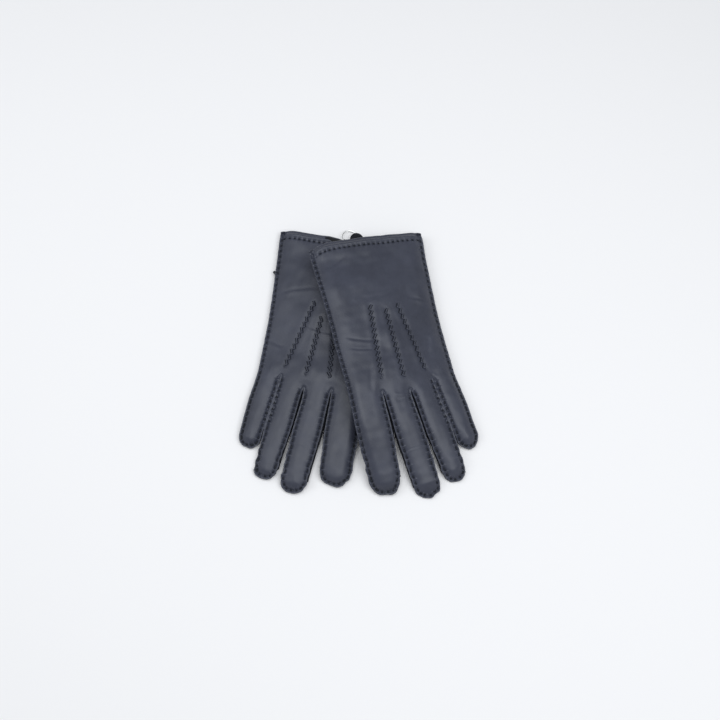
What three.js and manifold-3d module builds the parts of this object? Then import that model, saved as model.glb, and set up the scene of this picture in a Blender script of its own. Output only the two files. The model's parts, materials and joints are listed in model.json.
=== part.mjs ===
// A pair of gentlemen's lined leather gloves, hand sewn with the seams outside, laid palm down with the
// left glove over the right one, the fingers towards -Y and both thumbs folded under the palms.
// Millimetres, +Z up, the origin in the middle of the pair's footprint on the table.
import * as THREE from "three";
import { mergeVertices } from "three/addons/utils/BufferGeometryUtils.js";
import Module from "manifold-3d";

const { lerp, smoothstep, degToRad } = THREE.MathUtils;

// Sheets
const LEATHER = 0.8; // thickness of the outer leather
const LINING = 0.5; // thickness of the knitted lining
const AIR = 0.3; // air between two sheets that touch
const FLANGE = 1.8; // how far a sewn edge stands out past its seam

// Hand
const HAND_THICK = 11.4; // over both leathers at the middle of the hand
const HAND_SEAM = 4.8; // height of the side seams over the table
const CUFF_WIDTH = 106;
const WRIST_WIDTH = 99.5;
const PALM_WIDTH = 98.5;
const PALM_SHIFT = 1.2; // the knuckles sit this far towards the little finger
const WRIST_AT = 92; // from the cuff
const CUFF_SLANT = 4; // the cuff is cut this much further in on the index finger's side
const HINGE_ROOM = 6.8; // the hand's panels stop this far before each finger's hinge
const HEM = 13; // depth of the leather turned in at the cuff

// Fingers: hinge point, direction, length from the hinge to the tip, and widths at the hinge and near the tip.
// across and along are measured from the middle of the cuff, across towards the little finger.
const FINGER_THICK = 10.6;
const FINGER_WALL = 4.6; // height of a fourchette, the strip between a finger's back and palm
const FINGERS = {
  index: { across: -33, along: 153, lean: 0.4, length: 77, width: 29.2, tip: 28 },
  middle: { across: -5.3, along: 155, lean: 5.4, length: 86, width: 24, tip: 23.4 },
  ring: { across: 18.4, along: 152, lean: 7.6, length: 81, width: 21.8, tip: 21 },
  little: { across: 40.4, along: 146, lean: 7.2, length: 61.5, width: 20.8, tip: 19.4 },
};
const ORDER = ["index", "middle", "ring", "little"];

// Thumb, folded flat under the palm: the middle of its round base, which turns in a hole in the palm
const THUMB = { across: -27, along: 74, lean: 13, length: 63, thick: 9.6, base: 16.5, width: 25 };
const THUMB_HOLE = 11.5; // radius of the hole that leads from the palm into the thumb
const THUMB_COLLAR = 3; // how far the leather collar in that hole reaches into each layer

// How the pair lies
const THUMB_LIFT = THUMB.thick + 2 * AIR; // the palm panel clears the thumb
const BACK_LIFT = 7; // the back panel rises less, so the hand is squeezed over the thumb
const TILT = 14.6; // slope of the upper glove, degrees, from the lower one down to the table
const CUFF_LIFT = 2.6; // extra height of the upper cuff, which lies almost wholly on the lower one
const GLOVES = {
  right: { hand: -1, x: -21.5, y: 118, turn: -8.5, tilt: 0, lift: 0 },
  left: { hand: 1, x: 4.5, y: 110.5, turn: 13, tilt: TILT, lift: CUFF_LIFT },
};

// Hanging tab, ring and button at the lower cuff
const TAB = { x: -19, y: 116.6, z: 5, turn: -55, width: 6, inside: 7, out: 4.5, thick: 0.8, fold: 1.45 };
const RING = { radius: 7, wire: 0.45, droop: 12 };
const BUTTON = { radius: 6.4, height: 4.2, shank: 0.6, round: 60 };

const BLACK = 0x1b1c20;
const leatherPaint = new THREE.MeshStandardMaterial({ color: 0x2e3037, roughness: 0.45 });
const palmPaint = new THREE.MeshStandardMaterial({ color: 0x292b31, roughness: 0.5 });
const wallPaint = new THREE.MeshStandardMaterial({ color: 0x24262b, roughness: 0.55 });
const liningPaint = new THREE.MeshStandardMaterial({ color: BLACK, roughness: 0.95 });
const ribbonPaint = new THREE.MeshStandardMaterial({ color: BLACK, roughness: 0.8 });
const steelPaint = new THREE.MeshStandardMaterial({ color: 0x8d9096, roughness: 0.3, metalness: 1 });
const buttonPaint = new THREE.MeshStandardMaterial({ color: 0x101014, roughness: 0.5 });

// ---- The lie of the leather -------------------------------------------------------------------------------

// Half widths of the hand at a distance from the cuff, and the edges as across values.
function edges(along) {
  const toWrist = smoothstep(along, 0, WRIST_AT);
  const toPalm = smoothstep(along, WRIST_AT, FINGERS.middle.along);
  const width = lerp(lerp(CUFF_WIDTH, WRIST_WIDTH, toWrist), PALM_WIDTH, toPalm);
  return [PALM_SHIFT * toPalm - width / 2, PALM_SHIFT * toPalm + width / 2];
}

// 1 along the length of the folded thumb, falling to 0 at the cuff and towards the fingertips.
function thumbReach(along) {
  return smoothstep(along, 16, 52) * (1 - 0.5 * smoothstep(along, 132, 166)) * (1 - smoothstep(along, 150, 225));
}

// Shares of the full lift over the thumb, for the back and for the palm, from the index side to the other.
const overThumb = (across, along) => thumbReach(along) * (1 - smoothstep(across, -2, 46));
const onThumb = (across, along) => thumbReach(along) * (1 - smoothstep(across, -9, 26));

// Height of the plane that a glove lies on: the table, or for the upper glove a slope up the lower one.
function bed(glove, across, along) {
  const slope = Math.tan(degToRad(glove.tilt)) * Math.max(0, CUFF_WIDTH / 2 - across);
  const cuff = glove.lift * (1 - smoothstep(along, 0, 90));
  const fingers = 1 - smoothstep(along, 158, 236);
  return (slope + cuff) * fingers;
}

// Share of the full fullness at a place across a panel, flat at 1 in the middle and 0 at either edge.
const fullness = (side) => Math.min(1, 1.3 * (1 - side ** 4));

const backLie = (glove, a, l) => bed(glove, a, l) + BACK_LIFT * overThumb(a, l);
function palmLie(glove, a, l, side) {
  const edge = side < 0 ? fullness(side) : 1;
  return bed(glove, a, l) + lerp(BACK_LIFT * overThumb(a, l), THUMB_LIFT * onThumb(a, l), edge);
}

// ---- Solids ----------------------------------------------------------------------------------------------

// Moves every vertex of a closed geometry by a function of it, and turns the faces outwards.
function shaped(geometry, place) {
  geometry.deleteAttribute("normal");
  geometry.deleteAttribute("uv");
  const at = geometry.attributes.position;
  const p = new THREE.Vector3();
  for (let i = 0; i < at.count; i++) {
    p.fromBufferAttribute(at, i);
    at.setXYZ(i, ...place(p));
  }
  if (signedVolume(geometry) < 0) {
    const index = geometry.index.array;
    for (let i = 0; i < index.length; i += 3) [index[i + 1], index[i + 2]] = [index[i + 2], index[i + 1]];
  }
  return geometry;
}

function signedVolume(geometry) {
  const at = geometry.attributes.position;
  const [a, b, c] = [new THREE.Vector3(), new THREE.Vector3(), new THREE.Vector3()];
  let sum = 0;
  for (let i = 0; i < geometry.index.count; i += 3) {
    a.fromBufferAttribute(at, geometry.index.getX(i));
    b.fromBufferAttribute(at, geometry.index.getX(i + 1));
    c.fromBufferAttribute(at, geometry.index.getX(i + 2));
    sum += a.dot(b.cross(c));
  }
  return sum;
}

// A sheet of cells by rows cells: side runs from -1 to 1, along from 0 to 1, and skin is 1 outside and 0 inside.
function sheet(cells, rows, place) {
  const box = new THREE.BoxGeometry(2, 1, 1, cells, rows, 1);
  return shaped(box, (p) => place(p.x, p.y + 0.5, p.z + 0.5));
}

// A sleeve with the given wall: turn is the angle round it, along runs from 0 to 1, and skin is 1 outside and
// 0 inside. A closed one ends in a cap at along 1.
function sleeve(sides, rows, closed, place) {
  const line = [];
  const far = closed ? rows : rows + 1;
  for (let i = 0; i < far; i++) line.push(new THREE.Vector2(2, i / rows));
  if (closed) line.push(new THREE.Vector2(0, 1), new THREE.Vector2(0, 0.985));
  for (let i = far - 1; i >= 0; i--) line.push(new THREE.Vector2(1, (i / rows) * (closed ? 0.985 : 1)));
  line.push(line[0].clone());
  if (closed) line.splice(-1, 1, new THREE.Vector2(2, 0));
  const lathe = new THREE.LatheGeometry(line, sides);
  return shaped(lathe, (p) => {
    const r = Math.hypot(p.x, p.z);
    const ends = r < 1e-6;
    return place(ends ? 0 : Math.atan2(p.x, p.z), p.y, r > 1.5 ? 1 : 0, ends);
  });
}

// ---- Hand ------------------------------------------------------------------------------------------------

// Where the hand's panels stop before the fingers: HINGE_ROOM before each finger's hinge line.
function handEnd(across) {
  const stops = ORDER.flatMap((name) => {
    const f = FINGERS[name];
    const half = f.width / 2;
    const rise = Math.tan(degToRad(f.lean)) * half;
    const middle = f.along - HINGE_ROOM;
    return [
      [f.across - half, middle + rise],
      [f.across + half, middle - rise],
    ];
  });
  let end = across < stops[0][0] ? stops[0][1] : stops[stops.length - 1][1];
  for (let i = 1; i < stops.length; i++) {
    const [a, b] = [stops[i - 1], stops[i]];
    if (across >= a[0] && across <= b[0]) end = lerp(a[1], b[1], (across - a[0]) / (b[0] - a[0]));
  }
  return end;
}

// A point of the hand by its place across (-1 to 1) and along (0 to 1), its edges taken in by an inset.
function handPoint(side, along, inset) {
  const rough = along * FINGERS.middle.along;
  const [low, high] = edges(rough);
  const across = lerp(low + inset, high - inset, (side + 1) / 2);
  return [across, lerp((CUFF_SLANT * (1 - side)) / 2, handEnd(across), along)];
}

const HAND_COLUMNS = 12; // cells across a panel
const HAND_ROWS = 10; // cells along it
const HAND_TOP = HAND_THICK - HAND_SEAM - AIR / 2 - LEATHER; // the back's rise from its seam to the middle
const HAND_SAG = HAND_SEAM - AIR / 2 - LEATHER; // the palm's fall from its seam to the middle

function handBack(glove) {
  return sheet(HAND_COLUMNS, HAND_ROWS, (side, along, skin) => {
    const [a, l] = handPoint(side, along, 0);
    const height = HAND_SEAM + AIR / 2 + HAND_TOP * fullness(side) + LEATHER * skin;
    return [glove.hand * a, -l, backLie(glove, a, l) + height];
  });
}

// The palm's cells run from the other edge, so their diagonals lie along those of the lining.
function handPalm(glove) {
  return sheet(HAND_COLUMNS, HAND_ROWS, (edge, along, skin) => {
    const side = -edge;
    const [a, l] = handPoint(side, along, 0);
    const height = HAND_SEAM - AIR / 2 - HAND_SAG * fullness(side) - LEATHER * skin;
    return [glove.hand * a, -l, palmLie(glove, a, l, side) + height];
  });
}

// A band inside the hand's panels, from one place along the hand to another, as one closed ring of points that
// stand under those of the panels. A row of the band is a row of the panels.
function handBand(glove, thick, stations) {
  const columns = HAND_COLUMNS - 1;
  return sleeve(2 * columns, stations.length - 1, false, (turn, along, skin) => {
    const k = Math.round((turn / (2 * Math.PI)) * 2 * columns + 2 * columns) % (2 * columns);
    const up = k >= columns;
    const column = up ? 2 * columns - 1 - k : k;
    const side = -1 + (2 / HAND_COLUMNS) * (column + 1);
    const place = stations[Math.round(along * (stations.length - 1))];
    const wall = column === 0 || column === columns - 1 ? Math.sign(side) * thick * (1 - skin) : 0;
    const [a, l] = handPoint(side, place, 0);
    const step = AIR + thick * (1 - skin);
    const height = up
      ? backLie(glove, a, l) + HAND_SEAM + AIR / 2 + HAND_TOP * fullness(side) - step
      : palmLie(glove, a, l, side) + HAND_SEAM - AIR / 2 - HAND_SAG * fullness(side) + step;
    return [glove.hand * (a - wall), -l, height];
  });
}

const rowsFrom = (first, last) => Array.from({ length: last - first + 1 }, (_, i) => (first + i) / HAND_ROWS);
const handHem = (glove) => handBand(glove, LEATHER, [0.004, HEM / FINGERS.middle.along]);
const handLining = (glove) => handBand(glove, LINING, [...rowsFrom(1, HAND_ROWS - 1), 0.985]);

// ---- Fingers ---------------------------------------------------------------------------------------------

// Across and along of a finger's own point: aside from its middle line, onward from its hinge.
function fingerPoint(f, aside, onward) {
  const lean = degToRad(f.lean);
  return [
    f.across + onward * Math.sin(lean) + aside * Math.cos(lean),
    f.along + onward * Math.cos(lean) - aside * Math.sin(lean),
  ];
}

const TIP_ROUND = 0.84; // the tip's rounding starts at this share of the length
const tipShare = (along) => Math.max(0, (along - TIP_ROUND) / (1 - TIP_ROUND));
const tipWidth = (along) => Math.sqrt(1 - 0.95 * tipShare(along) ** 2);
const fingerHalf = (f, along) => (lerp(f.width, f.tip, along) / 2) * tipWidth(along);

// Rows are closer together towards a rounded tip.
const towardsTip = (along) => 1 - (1 - along) ** 1.6;

// Heights of a finger's leather: its crown, and its edges beside a fourchette or at a plain side seam.
const FINGER_MID = FINGER_THICK / 2;
const edgeHeight = (walled) => (walled ? FINGER_WALL / 2 + AIR : AIR / 2);

function fingerHeight(walls, side, along, top, inward) {
  const edge = edgeHeight(side < 0 ? walls[0] : walls[1]);
  const crown = FINGER_MID - LEATHER;
  const rise = lerp(edge, crown, fullness(side)) * lerp(1, 0.45, tipShare(along) ** 2);
  return FINGER_MID + (top ? 1 : -1) * (rise + inward);
}

function fingerPanel(glove, f, walls, top) {
  return sheet(6, 9, (side, row, skin) => {
    const along = towardsTip(row);
    const [a, l] = fingerPoint(f, side * fingerHalf(f, along), along * f.length);
    const lie = bed(glove, a, l) + BACK_LIFT * overThumb(a, l);
    return [glove.hand * a, -l, lie + fingerHeight(walls, side, along, top, LEATHER * skin)];
  });
}

const WALL_END = 0.86; // a fourchette stops at this share of the finger's length

function fourchette(glove, f, edge) {
  const box = new THREE.BoxGeometry(1, 1, 1, 1, 8, 1);
  return shaped(box, (p) => {
    const along = lerp(0.012, WALL_END, p.y + 0.5);
    const aside = edge * (fingerHalf(f, along) - FLANGE - LEATHER * (p.x + 0.5));
    const [a, l] = fingerPoint(f, aside, along * f.length);
    const squeeze = lerp(1, 0.5, tipShare(along) ** 2);
    const lie = bed(glove, a, l) + BACK_LIFT * overThumb(a, l);
    return [glove.hand * a, -l, lie + FINGER_MID + p.z * FINGER_WALL * squeeze];
  });
}

function fingerLining(glove, f, walls) {
  return sleeve(12, 6, true, (turn, along, skin, ends) => {
    const onward = lerp(0.012, 0.955, along);
    const inset = FLANGE + LEATHER + AIR + LINING * (1 - skin);
    const side = ends ? 0 : Math.cos(turn);
    const half = Math.max(1, fingerHalf(f, onward) - inset);
    const [a, l] = fingerPoint(f, side * half, onward * f.length);
    const reach = FINGER_MID - LEATHER - AIR - LINING * (1 - skin);
    const edge = side < 0 ? walls[0] : walls[1];
    const flat = edge ? 1 : lerp(1, 0.55, Math.max(0, Math.abs(side) - 0.3));
    const squeeze = lerp(1, 0.45, tipShare(onward) ** 2) * flat * lerp(0.94, 1, 1 - Math.abs(side));
    const share = ends ? 0 : Math.sign(Math.sin(turn)) * Math.abs(Math.sin(turn)) ** 0.6;
    const lie = bed(glove, a, l) + BACK_LIFT * overThumb(a, l);
    return [glove.hand * a, -l, lie + FINGER_MID + share * reach * squeeze];
  });
}

// ---- Thumb -----------------------------------------------------------------------------------------------

// A thumb lies in a plane of its own, so it can swing about its base. onward runs from -base to the tip.
function thumbPoint(aside, onward) {
  return fingerPoint(THUMB, aside, onward);
}

function thumbHalf(onward) {
  if (onward < 0) return Math.sqrt(Math.max(0.5, THUMB.base ** 2 - onward ** 2));
  const along = onward / THUMB.length;
  const body = lerp(THUMB.base, THUMB.width / 2, smoothstep(along, 0, 0.6));
  return body * tipWidth(along);
}

const THUMB_MID = THUMB.thick / 2;
const onwardOf = (along) => lerp(-THUMB.base, THUMB.length, along);

function thumbPanel(glove, top) {
  return sheet(6, 12, (side, row, skin) => {
    const onward = onwardOf(0.5 - Math.cos(row * Math.PI) / 2);
    const [a, l] = thumbPoint(side * thumbHalf(onward), onward);
    const crown = THUMB_MID - LEATHER;
    const ends = Math.max(tipShare(onward / THUMB.length), tipShare(-onward / THUMB.base));
    const rise = lerp(AIR / 2, crown, fullness(side)) * lerp(1, 0.35, ends ** 2);
    const height = THUMB_MID + (top ? 1 : -1) * (rise + LEATHER * skin);
    return [glove.hand * a, -l, thumbBed(glove, a, l) + height];
  });
}

// The plane that a thumb lies on, sloping with its glove.
function thumbBed(glove, across) {
  const slope = Math.tan(degToRad(glove.tilt)) * (CUFF_WIDTH / 2 - across);
  return slope + glove.lift * (1 - smoothstep(THUMB.along, 0, 90));
}

function thumbLining(glove) {
  return sleeve(12, 6, true, (turn, along, skin, ends) => {
    const onward = lerp(-THUMB.base * 0.3, THUMB.length * 0.955, along);
    const inset = FLANGE + LEATHER + AIR + LINING * (1 - skin);
    const side = ends ? 0 : Math.cos(turn);
    const half = Math.max(1, thumbHalf(onward) - inset);
    const [a, l] = thumbPoint(side * half, onward);
    const reach = THUMB_MID - LEATHER - AIR - LINING * (1 - skin);
    const squeeze = lerp(1, 0.4, tipShare(onward / THUMB.length) ** 2) * lerp(0.85, 1, 1 - Math.abs(side));
    const share = ends ? 0 : Math.sign(Math.sin(turn)) * Math.abs(Math.sin(turn)) ** 0.6;
    return [glove.hand * a, -l, thumbBed(glove, a, l) + THUMB_MID + share * reach * squeeze];
  });
}

// ---- Thumb hole ------------------------------------------------------------------------------------------

const wasm = await Module();
wasm.setup();

function solid(geometry) {
  const bare = geometry.clone();
  bare.deleteAttribute("normal");
  bare.deleteAttribute("uv");
  const merged = mergeVertices(bare, 1e-3);
  const mesh = { numProp: 3, vertProperties: merged.attributes.position.array, triVerts: new Uint32Array(merged.index.array) };
  return new wasm.Manifold(new wasm.Mesh(mesh));
}

// The geometry with a cylinder about the thumb's own axis taken out, between two heights over the thumb's middle.
function bored(geometry, thumb, radius, low, high) {
  const drill = new THREE.CylinderGeometry(radius, radius, high - low, 28);
  drill.rotateX(Math.PI / 2).translate(0, 0, (low + high) / 2).applyMatrix4(thumb.matrix);
  const mesh = solid(geometry).subtract(solid(drill)).getMesh();
  const result = new THREE.BufferGeometry();
  result.setAttribute("position", new THREE.BufferAttribute(mesh.vertProperties, 3));
  return result.setIndex(new THREE.BufferAttribute(mesh.triVerts, 1));
}

const THUMB_TOP = THUMB.thick / 2; // of the thumb's back over its middle
const COLLAR_LOW = THUMB_TOP - THUMB_COLLAR + LEATHER / 2;
const COLLAR_HIGH = THUMB_TOP + AIR + THUMB_COLLAR;

// The leather collar that joins thumb and palm, standing up in the hole through both.
function collar() {
  const line = [
    [THUMB_HOLE - LEATHER, COLLAR_LOW],
    [THUMB_HOLE, COLLAR_LOW],
    [THUMB_HOLE, COLLAR_HIGH],
    [THUMB_HOLE - LEATHER, COLLAR_HIGH],
    [THUMB_HOLE - LEATHER, COLLAR_LOW],
  ].map(([r, z]) => new THREE.Vector2(r, z));
  return new THREE.LatheGeometry(line, 28).rotateX(Math.PI / 2);
}

// ---- Tab, ring and button --------------------------------------------------------------------------------

// A ribbon folded in two round the ring's wire, its crease along X and its ends towards -Y.
function tabGeometry() {
  const outer = TAB.fold + TAB.thick;
  const join = Math.sqrt(outer ** 2 - TAB.thick ** 2);
  const line = new THREE.Shape();
  line.moveTo(-TAB.inside, -TAB.thick);
  line.lineTo(TAB.out - join, -TAB.thick);
  line.absarc(TAB.out, 0, outer, Math.PI + Math.asin(TAB.thick / outer), Math.PI - Math.asin(TAB.thick / outer));
  line.lineTo(-TAB.inside, TAB.thick);
  line.holes.push(new THREE.Path().absarc(TAB.out, 0, TAB.fold, 0, 2 * Math.PI));
  const ribbon = new THREE.ExtrudeGeometry(line, { depth: TAB.width, bevelEnabled: false, curveSegments: 18 });
  return ribbon.translate(0, 0, -TAB.width / 2).rotateY(Math.PI / 2).rotateX(Math.PI / 2);
}

// A dome on a flat back with a neck and an eye under it. The eye's middle is the origin and its hole lies along X.
function buttonGeometry() {
  const eye = new THREE.TorusGeometry(RING.wire + AIR + BUTTON.shank, BUTTON.shank, 8, 16).rotateY(Math.PI / 2);
  const base = RING.wire + AIR + 1.5 * BUTTON.shank;
  const line = [new THREE.Vector2(0, base), new THREE.Vector2(BUTTON.radius - 0.5, base)];
  for (let i = 0; i <= 8; i++) {
    const turn = (i / 8) * (Math.PI / 2);
    line.push(new THREE.Vector2(BUTTON.radius * Math.cos(turn), base + 0.8 + (BUTTON.height - 0.8) * Math.sin(turn)));
  }
  line[line.length - 1].x = 0;
  const dome = new THREE.LatheGeometry(line, 28).rotateX(Math.PI / 2);
  const mesh = solid(eye).add(solid(dome)).getMesh();
  const result = new THREE.BufferGeometry();
  result.setAttribute("position", new THREE.BufferAttribute(mesh.vertProperties, 3));
  return result.setIndex(new THREE.BufferAttribute(mesh.triVerts, 1));
}

// ---- Assembly --------------------------------------------------------------------------------------------

function named(name, geometry, material) {
  const mesh = new THREE.Mesh(geometry, material);
  mesh.name = name;
  return mesh;
}

// A group that stands at a hinge, its X along the hinge's axis and its -Y towards the tip.
function hinged(glove, piece, thick, lieAt) {
  const [a, l] = fingerPoint(piece, 0, 0);
  const [left, right] = [lieAt(glove, a - 5, l), lieAt(glove, a + 5, l)];
  const group = new THREE.Group();
  group.position.set(glove.hand * a, -l, lieAt(glove, a, l) + thick / 2);
  group.rotation.order = "ZYX";
  group.rotation.set(0, -Math.atan((glove.hand * (right - left)) / 10), glove.hand * degToRad(piece.lean));
  group.updateMatrix();
  return group;
}

// Adds a mesh whose geometry is in the glove's frame to a hinged group.
function attach(group, mesh) {
  mesh.geometry.applyMatrix4(group.matrix.clone().invert());
  group.add(mesh);
}

function makeGlove(side) {
  const glove = GLOVES[side];
  const group = new THREE.Group();
  group.add(named(`${side}_hand_back`, handBack(glove), leatherPaint));
  const thumb = hinged(glove, THUMB, THUMB.thick, thumbBed);
  const hole = THUMB_HOLE + AIR;
  const throughPalm = (geometry) => bored(geometry, thumb, hole, THUMB_TOP - 1, COLLAR_HIGH + AIR);
  group.add(named(`${side}_hand_palm`, throughPalm(handPalm(glove)), palmPaint));
  group.add(named(`${side}_hand_lining`, throughPalm(handLining(glove)), liningPaint));
  group.add(named(`${side}_cuff_hem`, handHem(glove), leatherPaint));
  ORDER.forEach((name, i) => {
    const f = FINGERS[name];
    const walls = [i > 0, i < ORDER.length - 1];
    const finger = hinged(glove, f, FINGER_THICK, backLie);
    finger.name = `${side}_${name}_hinge`;
    attach(finger, named(`${side}_${name}_back`, fingerPanel(glove, f, walls, true), leatherPaint));
    attach(finger, named(`${side}_${name}_palm`, fingerPanel(glove, f, walls, false), palmPaint));
    attach(finger, named(`${side}_${name}_lining`, fingerLining(glove, f, walls), liningPaint));
    if (walls[0]) attach(finger, named(`${side}_${name}_fourchette_in`, fourchette(glove, f, -1), wallPaint));
    if (walls[1]) attach(finger, named(`${side}_${name}_fourchette_out`, fourchette(glove, f, 1), wallPaint));
    group.add(finger);
  });
  const throughThumb = (geometry) => bored(geometry, thumb, hole, COLLAR_LOW - AIR, THUMB_TOP + 1);
  thumb.name = `${side}_thumb_hinge`;
  attach(thumb, named(`${side}_thumb_back`, throughThumb(thumbPanel(glove, true)), leatherPaint));
  attach(thumb, named(`${side}_thumb_palm`, thumbPanel(glove, false), palmPaint));
  attach(thumb, named(`${side}_thumb_lining`, throughThumb(thumbLining(glove)), liningPaint));
  thumb.add(named(`${side}_thumb_collar`, collar(), wallPaint));
  group.add(thumb);
  group.rotation.z = degToRad(glove.turn);
  group.position.set(glove.x, glove.y, 0);
  return group;
}

function makeHanger() {
  const tab = new THREE.Group();
  tab.position.set(TAB.x, TAB.y, TAB.z);
  tab.rotation.z = degToRad(TAB.turn);
  tab.add(named("hang_tab", tabGeometry(), ribbonPaint));
  const ring = new THREE.Group();
  ring.position.y = TAB.out;
  ring.rotation.x = -degToRad(RING.droop);
  const hoop = new THREE.TorusGeometry(RING.radius, RING.wire, 8, 36).translate(0, RING.radius, 0);
  ring.add(named("hang_ring", hoop, steelPaint));
  const button = new THREE.Group();
  const round = degToRad(BUTTON.round);
  button.position.set(RING.radius * Math.sin(round), RING.radius * (1 + Math.cos(round)), 0);
  button.rotation.z = -round;
  button.add(named("hang_button", buttonGeometry(), buttonPaint));
  ring.add(button);
  tab.add(ring);
  return tab;
}

const pair = new THREE.Group();
pair.add(makeGlove("right"), makeGlove("left"), makeHanger());
const footprint = new THREE.Box3().setFromObject(pair, true);
const middle = footprint.getCenter(new THREE.Vector3());
pair.position.set(-middle.x, -middle.y, -footprint.min.z);
export default pair;
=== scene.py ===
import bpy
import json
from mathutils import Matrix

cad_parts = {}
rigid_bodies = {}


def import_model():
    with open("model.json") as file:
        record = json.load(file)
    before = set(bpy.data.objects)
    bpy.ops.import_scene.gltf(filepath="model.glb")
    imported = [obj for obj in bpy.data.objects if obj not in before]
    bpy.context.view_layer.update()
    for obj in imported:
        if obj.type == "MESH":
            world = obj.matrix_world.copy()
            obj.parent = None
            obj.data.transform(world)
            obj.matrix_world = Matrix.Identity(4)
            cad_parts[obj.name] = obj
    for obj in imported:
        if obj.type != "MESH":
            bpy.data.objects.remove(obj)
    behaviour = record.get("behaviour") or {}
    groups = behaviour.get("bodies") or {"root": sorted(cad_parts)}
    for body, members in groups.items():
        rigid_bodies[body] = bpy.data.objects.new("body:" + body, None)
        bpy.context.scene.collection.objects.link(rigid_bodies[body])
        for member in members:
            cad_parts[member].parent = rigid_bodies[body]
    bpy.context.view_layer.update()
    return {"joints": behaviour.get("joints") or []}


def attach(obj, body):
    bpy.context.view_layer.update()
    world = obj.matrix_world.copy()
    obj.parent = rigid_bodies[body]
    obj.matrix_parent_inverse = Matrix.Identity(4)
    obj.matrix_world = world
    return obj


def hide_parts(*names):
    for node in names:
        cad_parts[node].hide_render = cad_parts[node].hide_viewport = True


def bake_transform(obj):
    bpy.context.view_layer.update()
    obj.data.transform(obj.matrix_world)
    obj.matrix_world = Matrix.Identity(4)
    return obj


bl_info = {
    "name": "Hand-Sewn Leather Gloves",
    "version": (1, 0, 0),
    "blender": (4, 5, 0),
    "location": "3D Viewport > Sidebar > Gloves",
    "description": "Makes a pair of lined, hand-sewn leather gloves that lie one over the other",
    "category": "Add Mesh",
}

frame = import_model()

import json
import math

import bpy
import numpy as np
from mathutils import Vector

JOINTS = {j["name"]: j for j in frame["joints"]}

# ---- Sizes of the pair, in millimetres
# across and along are measured on each glove from the middle of its cuff: across towards the little finger,
# along towards the fingertips.

HAND_SEAM = 4.8  # height of the side seams over what the glove lies on
HAND_CROWN = 11.2
PALM_CROWN = 0.3
FINGER_CROWN = 10.3
INNER_SEAM = 7.0  # height of the seam between a finger's back and its fourchette
INNER_SEAM_LOW = 3.6
TIP_SEAM = 4.6
CUFF_WIDTH, WRIST_WIDTH, PALM_WIDTH, PALM_SHIFT = 106.0, 99.5, 98.5, 1.2
WRIST_AT = 92.0
HEM_STITCHES = 6.5  # from the rolled edge to the stitches that hold the hem
ROLL = 2.1  # radius of the rolled edge at the cuff
HEM_END = 0.085  # share of the hand's length that the turned-in hem takes
HEM_STITCH = 1.05  # half the length of a hem stitch
KNUCKLES = (118, 150)  # along of the knuckles, from the hand's roundness to the fingers'
STITCH_DIP, RIB_HEIGHT = 0.95, 1.30  # how far the thread pulls in, and the rib between two stitches
GUTTER = 1.25  # from the middle of a point's ridge to its stitches
RIDGE_WIDTH, RIDGE_HEIGHT, RIDGE_STEP, RIDGE_SIDES = 0.72, 1.25, 0.3, 12
POINT_THREADS = {"near": 0.56, "far": 0.36}  # radius of the thread that shows on each side of a ridge
STRIP_END = 0.84  # share of the finger's length that a fourchette reaches
STRIP_BULGE = 2.4  # the most that a fourchette stands out into its slit

FINGER_SIZES = ("across", "along", "lean", "length", "width", "tip", "cap", "blunt")
FINGERS = {name: dict(zip(FINGER_SIZES, values)) for name, values in {
    "index": (-33.0, 153.0, 0.4, 77.0, 29.6, 28.0, 14.5, 2.1),
    "middle": (-5.3, 155.0, 5.7, 86.0, 24.6, 23.0, 12.5, 2.5),
    "ring": (18.4, 152.0, 7.9, 81.0, 22.2, 20.6, 12.0, 2.2),
    "little": (40.4, 146.0, 7.2, 61.5, 21.2, 19.6, 11.0, 2.1),
}.items()}
ORDER = list(FINGERS)
CROTCH_GAP = 3.2  # no stitch lies closer than this to a crotch
SEAM_END = 2.0  # nor than this to the cuff
CROTCHES = [(-18.1, 147.0), (6.6, 148.6), (29.1, 138.6)]
SLITS = {("index", 1): 0.5, ("middle", -1): 0.5, ("middle", 1): 1.1, ("ring", -1): 1.2, ("ring", 1): 0.2,
         ("little", -1): 0.3}  # how far each edge steps back from its slit just past the crotch
OUTER_BASES = [(-48.1, 143.0), (50.6, 138.0)]
COLUMNS = {"index": 44, "middle": 38, "ring": 34, "little": 34}
HAND_ROWS, PALM_ROWS = 290, 120
THUMB = dict(across=-27.0, along=74.0, lean=13.0, length=63.0, thick=9.6, base=16.5, width=25.0)
POINTS = {
    "left": [((-11.1, 67.0), (-16.4, 136.5)), ((2.2, 71.5), (3.4, 137.5)), ((13.6, 67.0), (24.8, 133.5))],
    "right": [((-11.0, 72.0), (-14.6, 137.5)), ((0.8, 80.5), (6.8, 137.5)), ((9.2, 66.5), (27.0, 131.5))],
}

TILT = 14.6  # slope of the upper glove from the lower one down to the table, degrees
THUMB_LIFT, BACK_LIFT, CUFF_LIFT = 10.2, 7.0, 2.6
GLOVES = {"right": dict(side="right", hand=-1, tilt=0.0, lift=0.0, seed=3, sag=2.6),
          "left": dict(side="left", hand=1, tilt=TILT, lift=CUFF_LIFT, seed=11, sag=0.9)}


# ---- Properties

def length_setting(name, description, default, low, high):
    return bpy.props.FloatProperty(name=name, description=description, default=default, min=low, max=high,
                                   precision=5, unit="LENGTH")


def colour_setting(name, description, default):
    return bpy.props.FloatVectorProperty(name=name, description=description, default=default, size=3,
                                         subtype="COLOR", min=0, max=1)


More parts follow.
